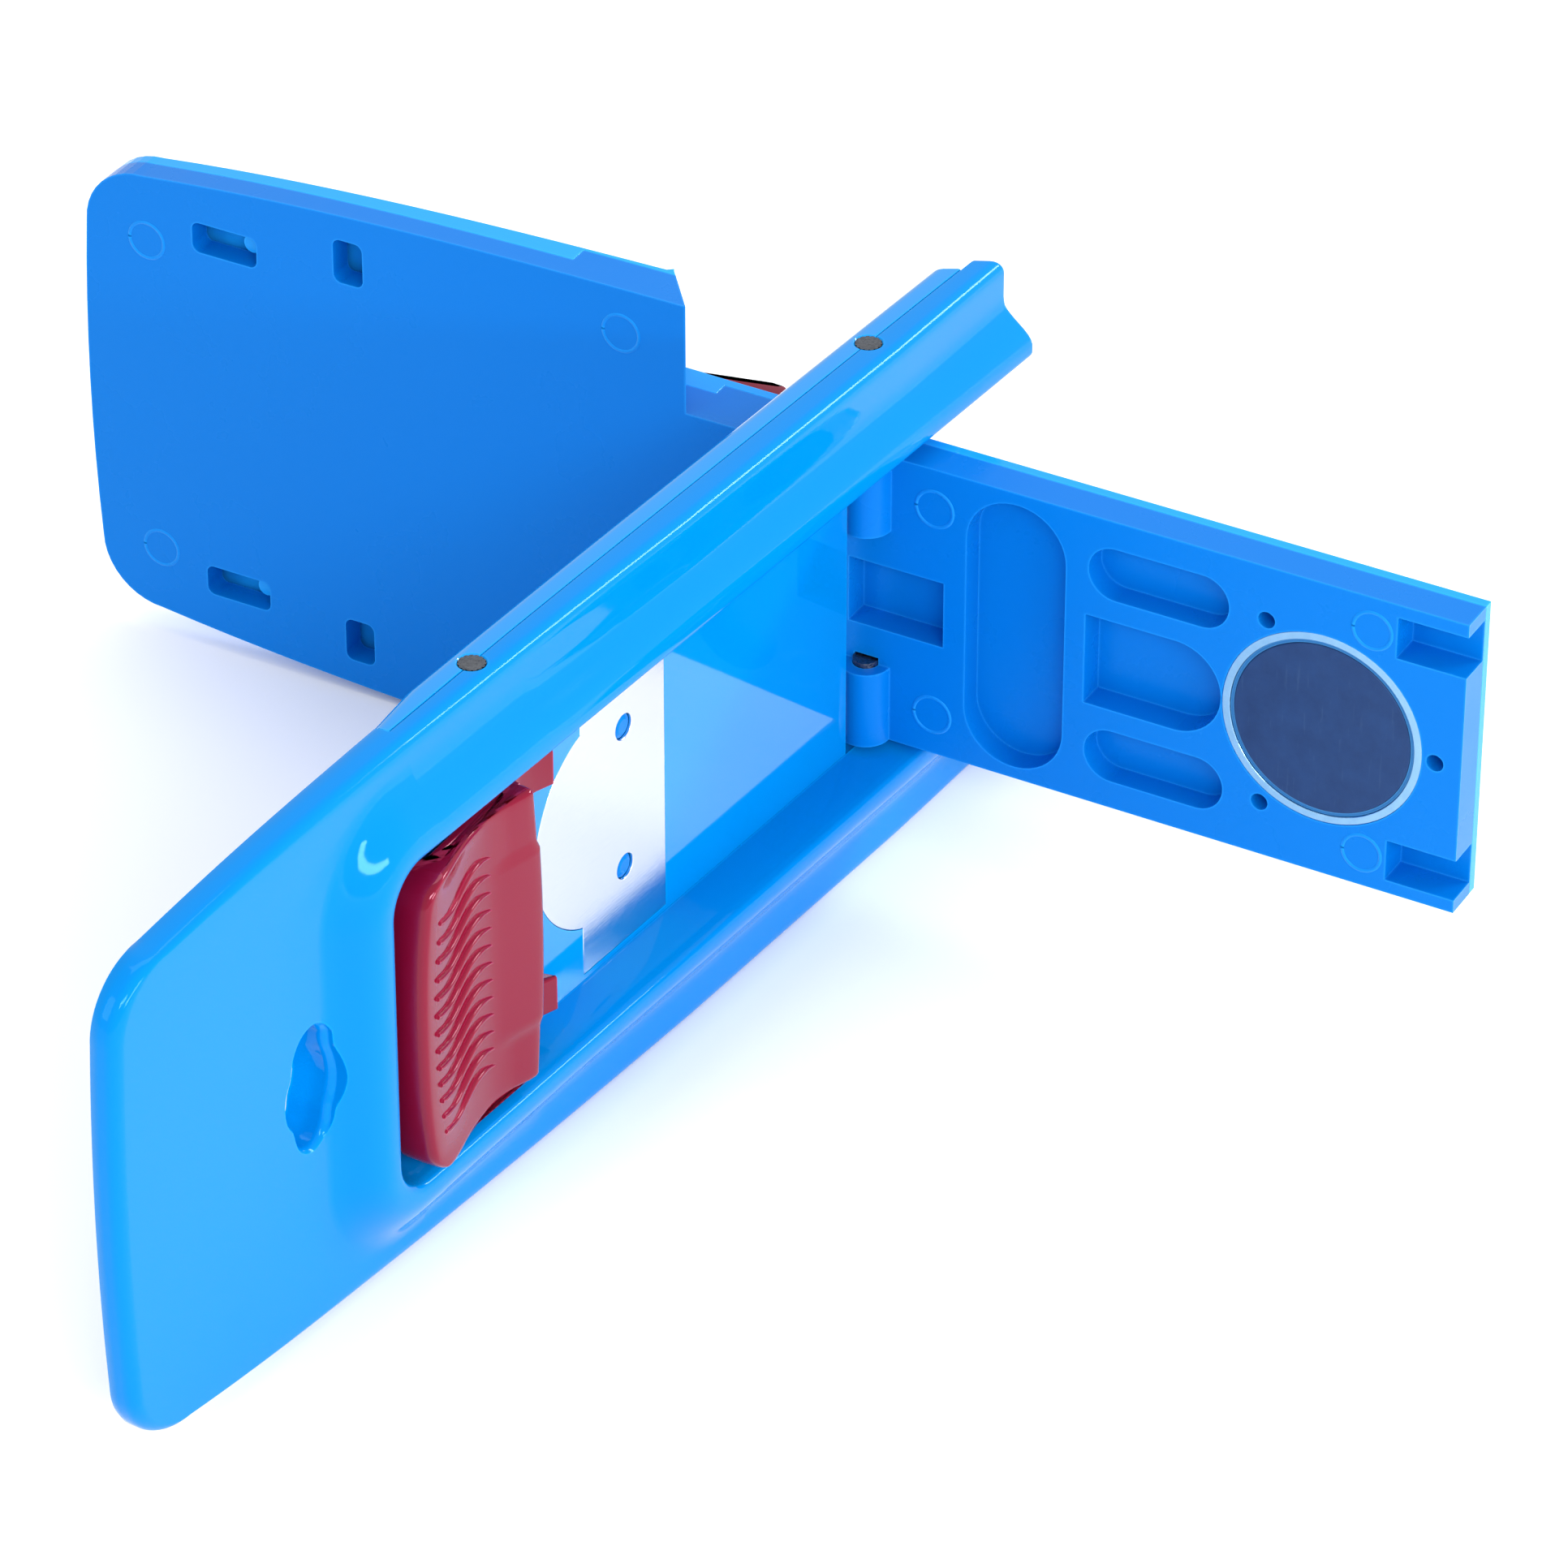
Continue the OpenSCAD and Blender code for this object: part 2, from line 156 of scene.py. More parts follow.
def mesh_object(name, bm, angle=35):
    """Turns bm into an object, shaded smooth but for edges sharper than angle."""
    bmesh.ops.remove_doubles(bm, verts=bm.verts, dist=1e-6)
    bmesh.ops.recalc_face_normals(bm, faces=bm.faces)
    mesh = bpy.data.meshes.new(name)
    bm.to_mesh(mesh)
    bm.free()
    mesh.shade_smooth()
    mesh.set_sharp_from_angle(angle=math.radians(angle))
    obj = bpy.data.objects.new(name, mesh)
    bpy.context.scene.collection.objects.link(obj)
    return obj


def add_loft(bm, sections, place, flat_ends=False):
    """Quads between closed sections of 3-D points, with both ends capped."""
    rings = [[bm.verts.new(place(p)) for p in s] for s in sections]
    n = len(rings[0])
    for a, b in zip(rings, rings[1:]):
        for i in range(n):
            j = (i + 1) % n
            bm.faces.new((a[i], a[j], b[j], b[i]))
    for ring in (rings[0], rings[-1]):
        if flat_ends:
            bm.faces.new(ring)
            continue
        centre = bm.verts.new(sum((v.co for v in ring), Vector()) / n)
        for i in range(n):
            bm.faces.new((ring[i], ring[(i + 1) % n], centre))


def add_box(bm, limits):
    """A box in the long wing's flat frame."""
    x0, x1, y0, y1, z0, z1 = limits
    add_loft(bm, [[(x, y, lev) for x, y in ((x0, y0), (x1, y0), (x1, y1), (x0, y1))]
                  for lev in (z0, z1)], long_wing)


def rounded_ends(y0, y1, r, inner=()):
    """Stations from y0 to y1 with the inset each needs for ends rounded to r."""
    turn = [0, 15, 30, 45, 60, 75, 90]
    ends = [(r - r * math.cos(math.radians(a)), r - r * math.sin(math.radians(a))) for a in turn]
    out = [(y0 + e, i) for e, i in ends]
    out += [(y, 0.0) for y in inner]
    out += [(y1 - e, i) for e, i in reversed(ends)]
    return out


def add_plate(bm, profile, y0, y1, r, place):
    """A side-view profile made y1 - y0 thick across the wing, its two faces rounded off by r."""
    sections = []
    for y, inset in rounded_ends(y0, y1, r):
        sections.append([(x, y, z) for x, z in inset_loop(profile, inset)])
    add_loft(bm, sections, place, True)


def circle_loop(cx, cy, r, count=32):
    """Points round a circle."""
    return [(cx + r * math.cos(math.tau * k / count), cy + r * math.sin(math.tau * k / count))
            for k in range(count)]


def cut(obj, cutter):
    """Takes cutter out of obj, and removes it."""
    modifier = obj.modifiers.new("cut", "BOOLEAN")
    modifier.operation = "DIFFERENCE"
    modifier.solver = "EXACT"
    modifier.object = cutter
    modifier.use_self = True
    bpy.context.view_layer.update()
    graph = bpy.context.evaluated_depsgraph_get()
    mesh = bpy.data.meshes.new_from_object(obj.evaluated_get(graph))
    obj.modifiers.clear()
    obj.data = mesh
    obj.data.name = obj.name
    bpy.data.objects.remove(cutter)
    mesh.shade_smooth()
    mesh.set_sharp_from_angle(angle=math.radians(35))


def join(target, piece):
    """Adds piece's mesh to target's."""
    bm = bmesh.new()
    bm.from_mesh(target.data)
    bm.from_mesh(piece.data)
    bm.to_mesh(target.data)
    bm.free()
    bpy.data.objects.remove(piece)


def face_normals(obj):
    """Shading follows the large faces, so cut edges leave no creases on them."""
    n = obj.modifiers.new("normals", "WEIGHTED_NORMAL")
    n.keep_sharp = True
    n.weight = 60


# ------------------------------------------------------------------ long wing's shell
def outline_half():
    """One half of the long wing's outline, from the prong's tip to the middle of the free end."""
    start = END_X + CORNER_R + BOWED_END
    cy = half_at(start) - CORNER_R
    xs = [TIP_X - 1.0 * k for k in range(4)] + [TIP_X - 4 - 3.6 * k for k in range(1, 44)]
    xs = [x for x in xs if x > BASE_X + 0.5] + [BASE_X + 0.1, BASE_X - 0.1]
    count = math.ceil((BASE_X - start - 5) / 3)
    xs += [BASE_X - 3 - 3.0 * k for k in range(count)]
    points = [(x, half_at(x)) for x in xs]
    for a in range(0, 91, 6):
        t = math.radians(a)
        points.append((start - CORNER_R * math.sin(t), cy + CORNER_R * math.cos(t)))
    for k in range(1, 15):
        t = 1 - k / 14
        points.append((END_X + BOWED_END * t * t, cy * t))
    return points


def inner_point(q, d):
    """The point d outside the recess's rim that faces outline point q."""
    x, y = q
    cx, cy = RECESS_X + RECESS_R, RECESS_HALF - RECESS_R
    if x >= cx:
        return x, RECESS_HALF + d
    if y <= cy:
        return RECESS_X - d, y
    a = math.atan2(y - cy, x - cx)
    return cx + (RECESS_R + d) * math.cos(a), cy + (RECESS_R + d) * math.sin(a)


def rim_height(d, x):
    """Height of the shell at distance d outside the recess: the raised rim, falling to the flange."""
    flange = top_at(x)
    width = 9.5 + 3.0 * smooth_step((-100 - x) / 60)
    return flange + (RIM_T - flange) * (1 - smooth_step((d - EDGE_R) / width))


def shell_section(q, inset):
    """One section of the shell as (distance along the facing line, height), closed."""
    inner = Vector(inner_point(q, 0.0))
    outer = Vector(q)
    span = (outer - inner).length
    x = q[0]
    bottom = SHELL_LOW if x > BASE_X else END_LOW
    pts = [(-1.5, bottom), (-1.15, 7.5), (-0.75, 10.5), (-0.3, 13.2), (0.0, RIM_T - LIP_R)]
    for a in (20, 40, 60, 80):
        t = math.radians(a)
        pts.append((LIP_R - LIP_R * math.cos(t), RIM_T - LIP_R + LIP_R * math.sin(t)))
    for d in [1.6, 2.2, 3, 4, 5, 6, 7, 8, 9, 10, 11, 12.5, RIM_END]:
        px = inner_point(q, d)[0]
        pts.append((d, rim_height(d, px)))
    flange_end = span - EDGE_R
    for s in (0.25, 0.5, 0.75, 1.0):
        d = RIM_END + (flange_end - RIM_END) * s
        px = inner.x + (outer.x - inner.x) * d / span
        pts.append((d, rim_height(d, px)))
    top = top_at(x)
    for a in (15, 30, 45, 60, 75, 90):
        t = math.radians(a)
        pts.append((flange_end + EDGE_R * math.sin(t), top - 2.4 + 2.4 * math.cos(t)))
    low = 0.35 if x > BASE_X else 1.8
    height = max(top - 2.5 - bottom - low, 0.1)
    pts += [(span, bottom + low + height * 0.5), (span, bottom + low),
            (span - 0.3 * low, bottom + 0.3 * low), (span - low, bottom)]
    pts += [(span * 0.66, bottom), (span * 0.33, bottom)]
    return inset_loop(pts, inset) if inset else pts


def shell_points(q, section, side, back):
    """The section's points in the flat frame, with the prong's end cut on its slant."""
    inner, outer = Vector(inner_point(q, 0.0)), Vector(q)
    foot = Vector(inner_point(q, RIM_END))
    span = (outer - inner).length
    out = []
    for d, lev in section:
        if d < 0:
            p = inner + (outer - inner) * (d / span)
        elif d <= RIM_END:
            p = Vector(inner_point(q, d))
        else:
            p = foot + (outer - foot) * ((d - RIM_END) / (span - RIM_END))
        w = smooth_step((q[0] - 6) / 35)
        slant = 1.8 * (lev - 15.3) / 4.3 if lev > 11 else -1.8 - 3.5 * (11 - lev) / 6
        out.append((p.x + slant * w - back, p.y * side, lev))
    return out


def slot_outline():
    """The hang slot: across the wing, with a bulge in the middle of both long sides."""
    right = [(-176.4, 8.0), (-176.2, 5.0), (-175.0, 1.5), (-174.4, -2.0), (-175.0, -5.2), (-176.2, -7.6)]
    low = [(-176.8, -10.4), (-178.4, -12.6), (-180.6, -13.4), (-182.9, -12.4), (-184.2, -10.2)]
    left = [(-185.0, -7.2), (-186.4, -5.0), (-187.0, -2.0), (-186.5, 1.0), (-185.1, 3.8), (-184.4, 7.0)]
    high = [(-182.6, 9.6), (-180.2, 10.6), (-177.9, 10.0)]
    points = right + low + left + high
    return catmull(points + [points[0]], 3)[:-1]


def pin_bores(bm, depth, r):
    """Cutters for the hinge's and the pedal's pin bores, widened at the mouth for the heads."""
    for x in (0.0, PEDAL_X):
        edge = half_at(x)
        for side in (1, -1):
            loops = [(edge - depth, r), (edge - 0.25, r), (edge + 0.3, 3.1)]
            add_loft(bm, [[(cx, y * side, cz) for cx, cz in circle_loop(x, PIN_LIFT, radius, 40)]
                          for y, radius in loops], long_wing)


def long_shell():
    """The long wing's glossy upper moulding, with its raised rim and the hang slot."""
    half = outline_half()
    stations = []
    for angle, inset in [(90, 1.0), (70, 0.66), (50, 0.36), (30, 0.13), (10, 0.02)]:
        back = 1.0 - math.sin(math.radians(angle))
        stations.append((half[0], inset * TIP_R, back * TIP_R))
    stations += [(q, 0.0, 0.0) for q in half[1:]]
    sections = [shell_points(q, shell_section(q, i), 1, b) for q, i, b in stations]
    sections += [shell_points(q, shell_section(q, i), -1, b) for q, i, b in reversed(stations[:-1])]
    bm = bmesh.new()
    add_loft(bm, sections, long_wing)
    shell = mesh_object("long_wing_skin", bm)

    bm = bmesh.new()
    top = top_at(SLOT_X)
    levels = [(-1.0, -1.6), (1.5, -1.6), (4.0, -0.4), (5.5, 0.0), (top - 1.6, 0.0), (top - 1.1, 0.07),
              (top - 0.7, 0.2), (top - 0.35, 0.45), (top - 0.1, 0.75), (top + 0.1, 0.95), (top + 0.4, 1.1),
              (top + 8.0, 1.2)]
    add_loft(bm, [[(x, y, lev) for x, y in inset_loop(slot_outline(), -grow)] for lev, grow in levels],
             long_wing)
    pin_bores(bm, 12, 2.55)
    cut(shell, mesh_object("cutter", bm))

    # the floor under the pedal, as far as the base
    bm = bmesh.new()
    plan = [(-149.99, -32.4), (-149.99, 32.4), (-158, 32.4), (-164.2, 26), (-164.2, -26), (-158, -32.4)]
    add_loft(bm, [[(x, y, lev) for x, y in plan] for lev in (1.52, FLOOR_T)], long_wing)
    join(shell, mesh_object("floor_piece", bm))
    face_normals(shell)
    return shell


def base_body():
    """The long wing's lower moulding before anything is cut, with a rounded outer edge."""
    bm = bmesh.new()
    xs = [BASE_X + 0.02 + d for d in (0, 0.15, 0.5, 1, 4, 8, 12)]
    xs += [BASE_X + RAMP_LENGTH + 4.35 * k for k in range(1, 40)]
    sections = []
    for x in xs:
        half = half_at(x)
        under = RAMP_H * max(0.0, 1 - (x - BASE_X) / RAMP_LENGTH)
        r = BASE_EDGE
        low = [(half - r + r * math.sin(t), under + r - r * math.cos(t))
               for t in (math.radians(a) for a in (0, 18, 36, 54, 72, 90))]
        right = low + [(half, FLOOR_T - 0.4), (half - 0.12, FLOOR_T - 0.12), (half - 0.4, FLOOR_T)]
        loop = right + [(-y, lev) for y, lev in reversed(right)]
        slant = 3.2 * smooth_step(x / 32)
        sections.append([(x + slant * (lev / FLOOR_T - 1), y, lev) for y, lev in loop])
    add_loft(bm, sections, long_wing)
    return mesh_object("long_wing_floor", bm)


def long_base():
    """The base with the hinge window, the pedal slot, the strike plate's pocket, holes and bores."""
    base = base_body()
    bm = bmesh.new()
    add_box(bm, (-6.8, 60, -32.5, 32.5, -1, 9))
    add_box(bm, (PEDAL_X - 4.6, PEDAL_X + 4.4, -31.5, 31.5, -1, 9))
    cut(base, mesh_object("cutter", bm))

    bm = bmesh.new()
    plate = [(-67.0, -30.9), (-67.0, 30.9), (-93.6, 30.9), (-93.6, 20.8)]
    plate += [(LOBE_X + LOBE_R * math.cos(t), LOBE_R * math.sin(t))
              for t in (math.radians(a) for a in range(110, 251, 5))]
    plate += [(-93.6, -20.8), (-93.6, -30.9)]
    add_loft(bm, [[(x, y, lev) for x, y in plate] for lev in (FLOOR_T - PLATE_DEPTH, FLOOR_T + 3)], long_wing)
    cut(base, mesh_object("cutter", bm))

    bm = bmesh.new()
    for side in (1, -1):
        add_loft(bm, [[(x, y, lev) for x, y in circle_loop(RIVET_X, RIVET_Y * side, 2.4, 32)]
                      for lev in (1.0, FLOOR_T + 1)], long_wing)
    pin_bores(bm, 22, 2.53)
    cut(base, mesh_object("cutter", bm))
    face_normals(base)
    return base


# ------------------------------------------------------------------ pedals
PAD_TOP = [(-161.3, 11.4), (-161.2, 14.0), (-161.0, 16.4), (-160.7, 17.6), (-160.1, 18.25), (-159.3, 18.45),
           (-157.2, 18.2), (-154, 17.5), (-150, 16.5), (-146, 15.6), (-141, 14.8), (-136, 14.4), (-131, 14.7),
           (-127.4, 15.4), (-124.6, 15.95), (-123.1, 15.9), (-122.4, 15.1), (-122.2, 13.4)]


PAD_LINE = catmull(PAD_TOP, 4)


def pad_height(x):
    """Height of the pad's dished top at x."""
    for (x0, z0), (x1, z1) in zip(PAD_LINE, PAD_LINE[1:]):
        if x0 <= x <= x1 and x1 > x0:
            return z0 + (z1 - z0) * (x - x0) / (x1 - x0)
    return PAD_LINE[-1][1]


def pad_section(y, inset):
    """Side view of the pad at y: left edge bowed and rounded in plan, right edge bowed the other way."""
    past = min(PAD_R, max(0.0, abs(y) - (PAD_HALF - PAD_R)))
    corner = PAD_R - math.sqrt(PAD_R ** 2 - past ** 2)
    bow = 3.2 * (abs(y) / PAD_HALF) ** 2.5
    left = PAD_LEFT + min(bow + corner, 6.5)
    right = -121.4 - 1.6 * (y / PAD_HALF) ** 2
    raised = 0.6 * (1 - smooth_step((abs(y) - 18.2) / 1.0))
    under = [(-123.4, 10.5), (-126, 11.4), (-133, 11.4), (-145, 12.4), (-155.5, 13.8), (-157.5, 12.6),
             (-159.5, 11.3), (-160.9, 11.2)]
    out = []
    for x, z in PAD_LINE + under:
        u = (x - PAD_LEFT) / PAD_LENGTH
        crest = smooth_step((x + 136) / 7) if z > 14 else 0
        out.append((left + u * (right - left), z + raised * crest))
    return inset_loop(out, inset) if inset else out


def add_rib(bm, y0, half, place):
    """One wavy grip rib that follows the pad's dish, from the lip to the crest."""
    bow = 2.0 * (y0 / 22) ** 2
    path = []
    for s in range(RIB_STEPS + 1):
        t = s / RIB_STEPS
        path.append((-156.6 + bow + (21.6 - bow) * t, y0 + 0.9 * t - 1.15 * math.sin(t * math.tau)))
    rings = []
    for s, (x, y) in enumerate(path):
        if abs(y) > half - 3.2:
            y = math.copysign(half - 3.2, y)
        a, b = path[max(s - 1, 0)], path[min(s + 1, RIB_STEPS)]
        d = Vector((b[0] - a[0], b[1] - a[1])).normalized()
        size = RIB_R * min(1.0, (1.05 - s / RIB_STEPS) * 4, 0.7 + s / 3)
        z = pad_height(x) + 0.2
        ring = []
        for t in (math.tau * c / 10 for c in range(10)):
            off = math.cos(t) * size
            ring.append((x - d.y * off, y + d.x * off, z + math.sin(t) * size * 0.95))
        rings.append(ring)
    add_loft(bm, rings, place)


def foot_pedal(name, place, pivot, half, web_half, fingers):
    """A pedal half wide each way: dished pad, grip ribs, side webs with pivots, and pry fingers."""
    bm = bmesh.new()
    if half < PAD_HALF:
        lip = [(-160.3, 15.1)] + [(x, z) for x, z in PAD_LINE if x < -141 and z > 15.3] + [(-141, 15.1)]
        lip = [(x + 3.0 if x < -157 else x, z) for x, z in lip]
        add_plate(bm, lip, -PAD_HALF, PAD_HALF, 0.25, place)
    count = math.ceil((2 * half - 4.4) / 1.15)
    inner = sorted(half - 2.2 - 1.15 * k for k in range(count))
    sections = [[(x, y, z) for x, z in pad_section(y, inset)]
                for y, inset in rounded_ends(-half, half, 1.3, inner)]
    add_loft(bm, sections, place)
    for k in range(RIB_COUNT):
        add_rib(bm, -22.6 + RIB_GAP * k, half, place)
    web = [(-154.5, 12.6), (-153, 13.6), (-145, 13.4), (-133, 13), (-123.4, 13), (-122.8, 10.6),
           (PEDAL_X + 3.7, pivot + 1), (PEDAL_X - 3.4, pivot + 1.6), (-132.5, 9.6), (-140, 11.6)]
    for side in (1, -1):
        def mirrored(p, side=side):
            return place((p[0], p[1] * side, p[2]))
        add_plate(bm, web, web_half - 1.5, web_half, 0.35, mirrored)
        add_plate(bm, circle_loop(PEDAL_X, pivot, 3.9), web_half - 10, web_half - 0.1, 0.3, mirrored)
        if fingers:
            finger = [(-124.6, 12.8), (-122.4, 11.8), (-119.5, 8.4), (-116, 7.7), (-112, 8.5),
                      (-108.5, 9.6), (-108.2, 9.1), (-108.9, 6.5), (-113, 5.6), (-120, 5.5), (-124, 7.2)]
            add_plate(bm, finger, 20.4, 27.7, 0.5, mirrored)
    return mesh_object(name, bm, 40)


# ------------------------------------------------------------------ materials
def material(name):
    """A new node material with its tree and shader."""
    m = bpy.data.materials.new(name)
    m.use_nodes = True
    tree = m.node_tree
    shader = tree.nodes["Principled BSDF"]
    return m, tree, shader


def link(tree, a, b):
    """Joins two sockets."""
    tree.links.new(a, b)


def noise(tree, scale, detail=3.0, rough=0.55, stretch=None):
    """Noise on the piece's own coordinates, stretched into streaks where asked."""
    coord = tree.nodes.new("ShaderNodeTexCoord")
    n = tree.nodes.new("ShaderNodeTexNoise")
    n.inputs["Scale"].default_value = scale
    n.inputs["Detail"].default_value = detail
    n.inputs["Roughness"].default_value = rough
    if stretch:
        mapping = tree.nodes.new("ShaderNodeMapping")
        mapping.inputs["Scale"].default_value = stretch
        link(tree, coord.outputs["Object"], mapping.inputs["Vector"])
        link(tree, mapping.outputs["Vector"], n.inputs["Vector"])
    else:
        link(tree, coord.outputs["Object"], n.inputs["Vector"])
    return n.outputs["Fac"]


def ramp(tree, fac, stops):
    """A colour ramp through (position, colour) stops."""
    r = tree.nodes.new("ShaderNodeValToRGB")
    while len(r.color_ramp.elements) < len(stops):
        r.color_ramp.elements.new(0.5)
    for e, (pos, value) in zip(r.color_ramp.elements, stops):
        e.position = pos
        e.color = (*value, 1) if len(value) == 3 else value
    link(tree, fac, r.inputs["Fac"])
    return r.outputs["Color"]


def mix(tree, fac, a, b):
    """A blend of a and b, each a colour or a socket."""
    m = tree.nodes.new("ShaderNodeMix")
    m.data_type = "RGBA"
    for socket, value in (("Factor", fac), ("A", a), ("B", b)):
        wanted = "VALUE" if socket == "Factor" else "RGBA"
        target = [i for i in m.inputs if i.name == socket and i.type == wanted][0]
        if hasattr(value, "is_output"):
            link(tree, value, target)
        else:
            target.default_value = value if socket == "Factor" else (*value, 1)
    return [o for o in m.outputs if o.type == "RGBA"][0]


def bump(tree, shader, height, strength, distance, before=None):
    """Relief on the shader's normal, over an earlier one where there is one."""
    b = tree.nodes.new("ShaderNodeBump")
    b.inputs["Strength"].default_value = strength
    b.inputs["Distance"].default_value = distance
    link(tree, height, b.inputs["Height"])
    if before is not None:
        link(tree, before, b.inputs["Normal"])
    link(tree, b.outputs["Normal"], shader.inputs["Normal"])
    return b.outputs["Normal"]


def painted_edge_highlight(tree):
    """1 on rounded edges, the mask of a painted highlight that lightens them: there the rounded and the true
    normal part.
    """
    g = tree.nodes.new("ShaderNodeNewGeometry")
    rounded = tree.nodes.new("ShaderNodeBevel")
    rounded.samples = 4
    rounded.inputs["Radius"].default_value = 0.0007
    dot = tree.nodes.new("ShaderNodeVectorMath")
    dot.operation = "DOT_PRODUCT"
    link(tree, g.outputs["Normal"], dot.inputs[0])
    link(tree, rounded.outputs["Normal"], dot.inputs[1])
    # the mask for the painted highlight on the edges
    return ramp(tree, dot.outputs["Value"], [(0.86, (1, 1, 1)), (0.99, (0, 0, 0))])


def plastic(name, colour, pale, rough, coat=0.0, grain=0.02, tint=(0.35, 0.75, 1.0), spec=0.5, wave=0.0,
            ior=1.5):
    """Moulded plastic: slow colour drift, fine grain, faint flow waves, and pale edges painted on as a
    highlight.
    """
    m, tree, shader = material(name)
    drift = noise(tree, 9.0, 2.0)
    base = mix(tree, drift, colour, tuple(c * 0.9 for c in colour))
    # pale is the painted highlight colour laid over the rounded edges
    edge_lit = mix(tree, painted_edge_highlight(tree), base, pale)
    link(tree, edge_lit, shader.inputs["Base Color"])
    fine = noise(tree, 900.0, 2.0)
    rough_map = ramp(tree, noise(tree, 38.0, 5.0), [(0.3, (rough * 0.8,) * 3), (0.75, (rough * 1.25,) * 3)])
    link(tree, rough_map, shader.inputs["Roughness"])
    shader.inputs["IOR"].default_value = ior
    shader.inputs["Specular Tint"].default_value = (*tint, 1)
    shader.inputs["Specular IOR Level"].default_value = spec
    shader.inputs["Coat Weight"].default_value = coat
    shader.inputs["Coat Roughness"].default_value = 0.03
    first = bump(tree, shader, fine, grain, 0.0002)
    if wave:
        bump(tree, shader, noise(tree, 26.0, 1.0), wave, 0.002, first)
    return m


def metal(name, dark, light, rough, stretch, scale=260.0, grain=0.08):
    """Worked metal: drawn or rolled streaks, patchy brightness and fine scratches."""
    m, tree, shader = material(name)
    streak = noise(tree, scale, 4.0, 0.6, stretch)
    patch = noise(tree, 30.0, 3.0)
    tarnish = dark if grain > 0.5 else light
    base = mix(tree, streak, dark, light)
    base = mix(tree, patch, base, tuple(c * 0.85 for c in tarnish))
    link(tree, base, shader.inputs["Base Color"])
    shader.inputs["Metallic"].default_value = 1.0
    link(tree, ramp(tree, streak, [(0.3, (rough * 0.7,) * 3), (0.8, (rough * 1.4,) * 3)]),
         shader.inputs["Roughness"])
    bump(tree, shader, streak, grain, 0.0003)
    return m


# each plastic's second colour is the painted highlight on its edges
GLOSS_BLUE = plastic("shell_blue_gloss", (0.0, 0.205, 0.62), (0.0, 0.29, 0.74), 0.06, 0.0, 0.012,
                     (0.3, 0.75, 1.0), 0.5, 0.015, 1.3)
COVER_BLUE = plastic("cover_blue_gloss", (0.008, 0.31, 0.86), (0.02, 0.38, 0.92), 0.1, 0.0, 0.012,
                     (0.3, 0.75, 1.0), 0.5, 0.015, 1.35)
SATIN_BLUE = plastic("base_blue_satin", (0.0, 0.165, 0.60), (0.01, 0.25, 0.72), 0.28, 0.0, 0.03,
                     (0.2, 0.6, 1.0), 0.45, 0.0, 1.35)
FLOOR_BLUE = plastic("floor_blue_gloss", (0.0, 0.23, 0.66), (0.0, 0.31, 0.76), 0.045, 0.3, 0.01,
                     (0.3, 0.75, 1.0), 0.7, 0.008)
RUBY = plastic("pedal_ruby", (0.185, 0.001, 0.018), (0.34, 0.02, 0.06), 0.1, 0.0, 0.02,
               (1.0, 0.55, 0.7), 0.5, 0.0, 1.5)
SPACER = plastic("sleeve_blue", (0.01, 0.10, 0.30), (0.04, 0.2, 0.45), 0.35)
PLATE = metal("plate_steel", (0.72, 0.74, 0.76), (0.95, 0.96, 0.97), 0.16, (1, 1, 14))
PIN = metal("pin_steel_dark", (0.03, 0.035, 0.045), (0.38, 0.40, 0.44), 0.32, (1, 1, 1), 1500.0, 0.6)
WIRE = metal("spring_wire", (0.42, 0.43, 0.45), (0.72, 0.73, 0.75), 0.25, (1, 6, 1))
CUP = metal("cup_nickel", (0.10, 0.30, 0.52), (0.34, 0.58, 0.80), 0.22, (1, 1, 1), 400.0, 0.3)


def ferrite():
    """Sintered magnet: dark, mottled and faintly scored."""
    m, tree, shader = material("magnet_ferrite")
    coarse = noise(tree, 180.0, 6.0, 0.65)
    scratch = noise(tree, 120.0, 3.0, 0.6, (1, 12, 1))
    base = mix(tree, coarse, (0.004, 0.022, 0.085), (0.016, 0.055, 0.17))
    scored = ramp(tree, scratch, [(0.62, (0, 0, 0)), (0.74, (0.5, 0.5, 0.5))])
    base = mix(tree, scored, base, (0.03, 0.07, 0.17))
    link(tree, base, shader.inputs["Base Color"])
    shader.inputs["Metallic"].default_value = 0.15
    link(tree, ramp(tree, coarse, [(0.3, (0.32,) * 3), (0.7, (0.5,) * 3)]), shader.inputs["Roughness"])
    shader.inputs["IOR"].default_value = 1.3
    bump(tree, shader, coarse, 0.25, 0.0003)
    return m


FERRITE = ferrite()


def dress(obj, mat):
    """Gives the piece one material."""
    obj.data.materials.clear()
    obj.data.materials.append(mat)


def soften(obj, width):
    """Breaks a CAD node's sharp edges by up to width, once its split edges and flat faces are merged."""
    w = obj.modifiers.new("weld", "WELD")
    w.merge_threshold = 0.000005
    d = obj.modifiers.new("flat", "DECIMATE")
    d.decimate_type = "DISSOLVE"
    d.angle_limit = math.radians(0.08)
    b = obj.modifiers.new("soften", "BEVEL")
    b.width = width * 0.001
    b.segments = 3
    b.limit_method = "ANGLE"
    b.angle_limit = math.radians(32)
    b.harden_normals = False
    b.use_clamp_overlap = True
    e = obj.modifiers.new("edges", "EDGE_SPLIT")
    e.split_angle = math.radians(31)
    e.use_edge_sharp = False
    n = obj.modifiers.new("normals", "WEIGHTED_NORMAL")
    n.keep_sharp = True
    n.weight = 90


# ------------------------------------------------------------------ pieces
def clamp_place(p):
    """The cloth clamp is the pedal's shape moved along to the short wing."""
    x, y, z = p
    return short_wing((x + CLAMP_SHIFT, y, z - 0.4))


shell = long_shell()
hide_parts("long_wing_shell")
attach(shell, "long_wing")
dress(shell, GLOSS_BLUE)

base = long_base()
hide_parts("long_wing_base")
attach(base, "long_wing")
dress(base, FLOOR_BLUE)

pedal = foot_pedal("release_pedal_pad", long_wing, PIN_LIFT, PAD_HALF, 30.5, True)
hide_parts("release_pedal")
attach(pedal, "release_pedal")
dress(pedal, RUBY)

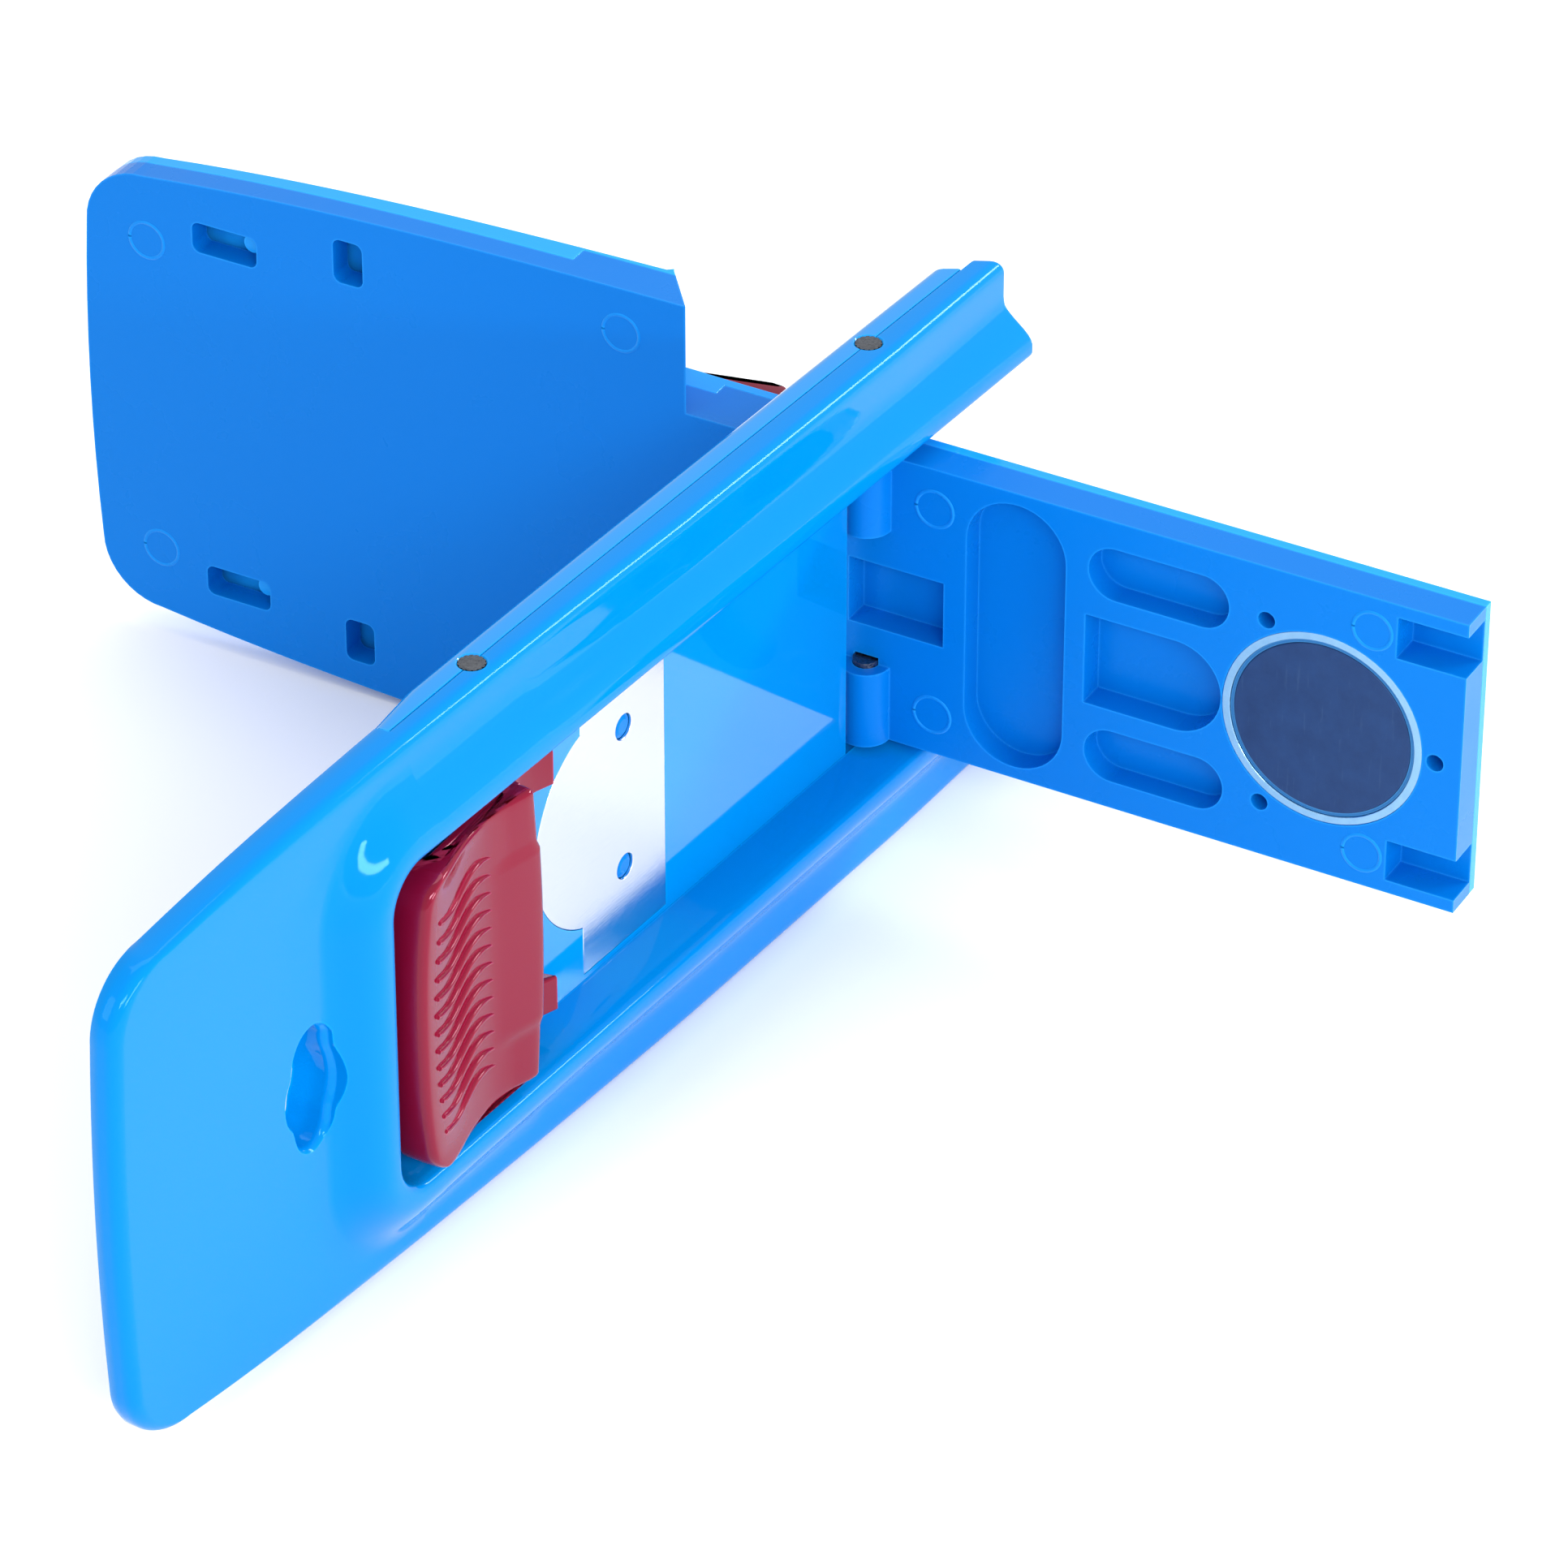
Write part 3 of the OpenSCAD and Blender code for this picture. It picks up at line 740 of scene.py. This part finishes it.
clamp = foot_pedal("cloth_clamp_pad", clamp_place, PIN_LIFT + 1.8, 26.8, 26.8, False)
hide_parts("cloth_clamp")
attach(clamp, "cloth_clamp")
dress(clamp, RUBY)

LOOKS = {
    "short_wing_base": (SATIN_BLUE, 0.9), "short_wing_cover": (COVER_BLUE, 1.1),
    "strike_plate": (PLATE, 0.15), "strike_rivets": (SATIN_BLUE, 0),
    "hinge_pins": (PIN, 0), "pedal_pins": (PIN, 0), "clamp_pins": (PIN, 0),
    "pedal_spring": (WIRE, 0), "clamp_spring": (WIRE, 0), "magnet": (FERRITE, 0.2),
    "magnet_sleeve": (SPACER, 0), "magnet_cup": (CUP, 0.15), "joint_axle": (WIRE, 0.3),
    "axle_clip": (WIRE, 0), "axle_washers": (WIRE, 0), "joint_yoke": (RUBY, 0.4), "cross_pins": (WIRE, 0.3),
    "handle_socket": (RUBY, 0.5), "socket_screw": (WIRE, 0.2),
}
for node, (look, width) in LOOKS.items():
    dress(NODES[node], look)
    if width:
        soften(NODES[node], width)


def ejector_rings():
    """Witness rings that the moulding tool's ejector pins leave on the short wing."""
    bm = bmesh.new()
    for x, y, lev in [(153, 34.5, 0), (49, 44.3, 0), (-13.9, 22.5, 5.15), (-102.3, 24, 5.15)]:
        for side in (1, -1):
            sections = []
            for a in (math.tau * k / 48 for k in range(49)):
                section = []
                for t in (math.tau * c / 8 for c in range(8)):
                    r = RING_R + RING_W * math.cos(t)
                    px, py = x + r * math.cos(a), side * y + r * math.sin(a)
                    section.append((px, py, lev + RING_H * math.sin(t)))
                sections.append(section)
            add_loft(bm, sections, short_wing)
    return mesh_object("ejector_rings", bm, 60)


rings = ejector_rings()
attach(rings, "short_wing")
dress(rings, SATIN_BLUE)


# ------------------------------------------------------------------ studio
def stage_floor():
    """A plain white floor just under the part."""
    bm = bmesh.new()
    bmesh.ops.create_grid(bm, x_segments=4, y_segments=4, size=STUDIO_SIZE)
    obj = mesh_object("studio_floor", bm)
    m, shader = material("studio_white")[::2]
    shader.inputs["Base Color"].default_value = (0.99, 0.99, 0.99, 1)
    shader.inputs["Roughness"].default_value = 0.9
    dress(obj, m)
    obj.location.z = -0.0002


stage_floor()


def softbox(name, place, width, height, power):
    """A rectangular area light aimed at the part's middle."""
    light = bpy.data.lights.new(name, "AREA")
    light.shape = "RECTANGLE"
    light.size = width
    light.size_y = height
    light.energy = power
    obj = bpy.data.objects.new(name, light)
    bpy.context.scene.collection.objects.link(obj)
    obj.location = place
    direction = Vector((0, 0, 0.05)) - Vector(place)
    obj.rotation_euler = direction.to_track_quat("-Z", "Y").to_euler()


softbox("key_box", (-1.3, -1.35, 1.2), 0.9, 0.35, 20)
softbox("top_box", (0.3, 0.3, 1.8), 1.2, 0.6, 6)
softbox("left_box", (-1.6, 0.8, 0.9), 0.5, 1.0, 5)
softbox("front_box", (-0.25, -1.6, 0.45), 0.9, 0.14, 11)
softbox("right_box", (1.15, -0.9, 0.75), 0.6, 0.22, 10)

world = bpy.data.worlds.new("studio")
bpy.context.scene.world = world
world.use_nodes = True
world.node_tree.nodes["Background"].inputs["Color"].default_value = (1, 1, 1, 1)
world.node_tree.nodes["Background"].inputs["Strength"].default_value = 0.95

camera_data = bpy.data.cameras.new("camera")
camera = bpy.data.objects.new("camera", camera_data)
bpy.context.scene.collection.objects.link(camera)
camera_data.sensor_width = 36
camera_data.lens = 184.14
camera_data.clip_start = 0.05
camera_data.clip_end = 50
forward = Vector((0.6947, 0.4509, -0.5604)).normalized()
up = Vector((0.4692, 0.3064, 0.8282))
right = forward.cross(up).normalized()
up = right.cross(forward)
camera.matrix_world = Matrix((
    (right.x, up.x, -forward.x, -0.9595),
    (right.y, up.y, -forward.y, -0.6901),
    (right.z, up.z, -forward.z, 0.8558),
    (0, 0, 0, 1)))
bpy.context.scene.camera = camera
bpy.context.scene.view_settings.view_transform = "Standard"
bpy.context.scene.view_settings.look = "None"
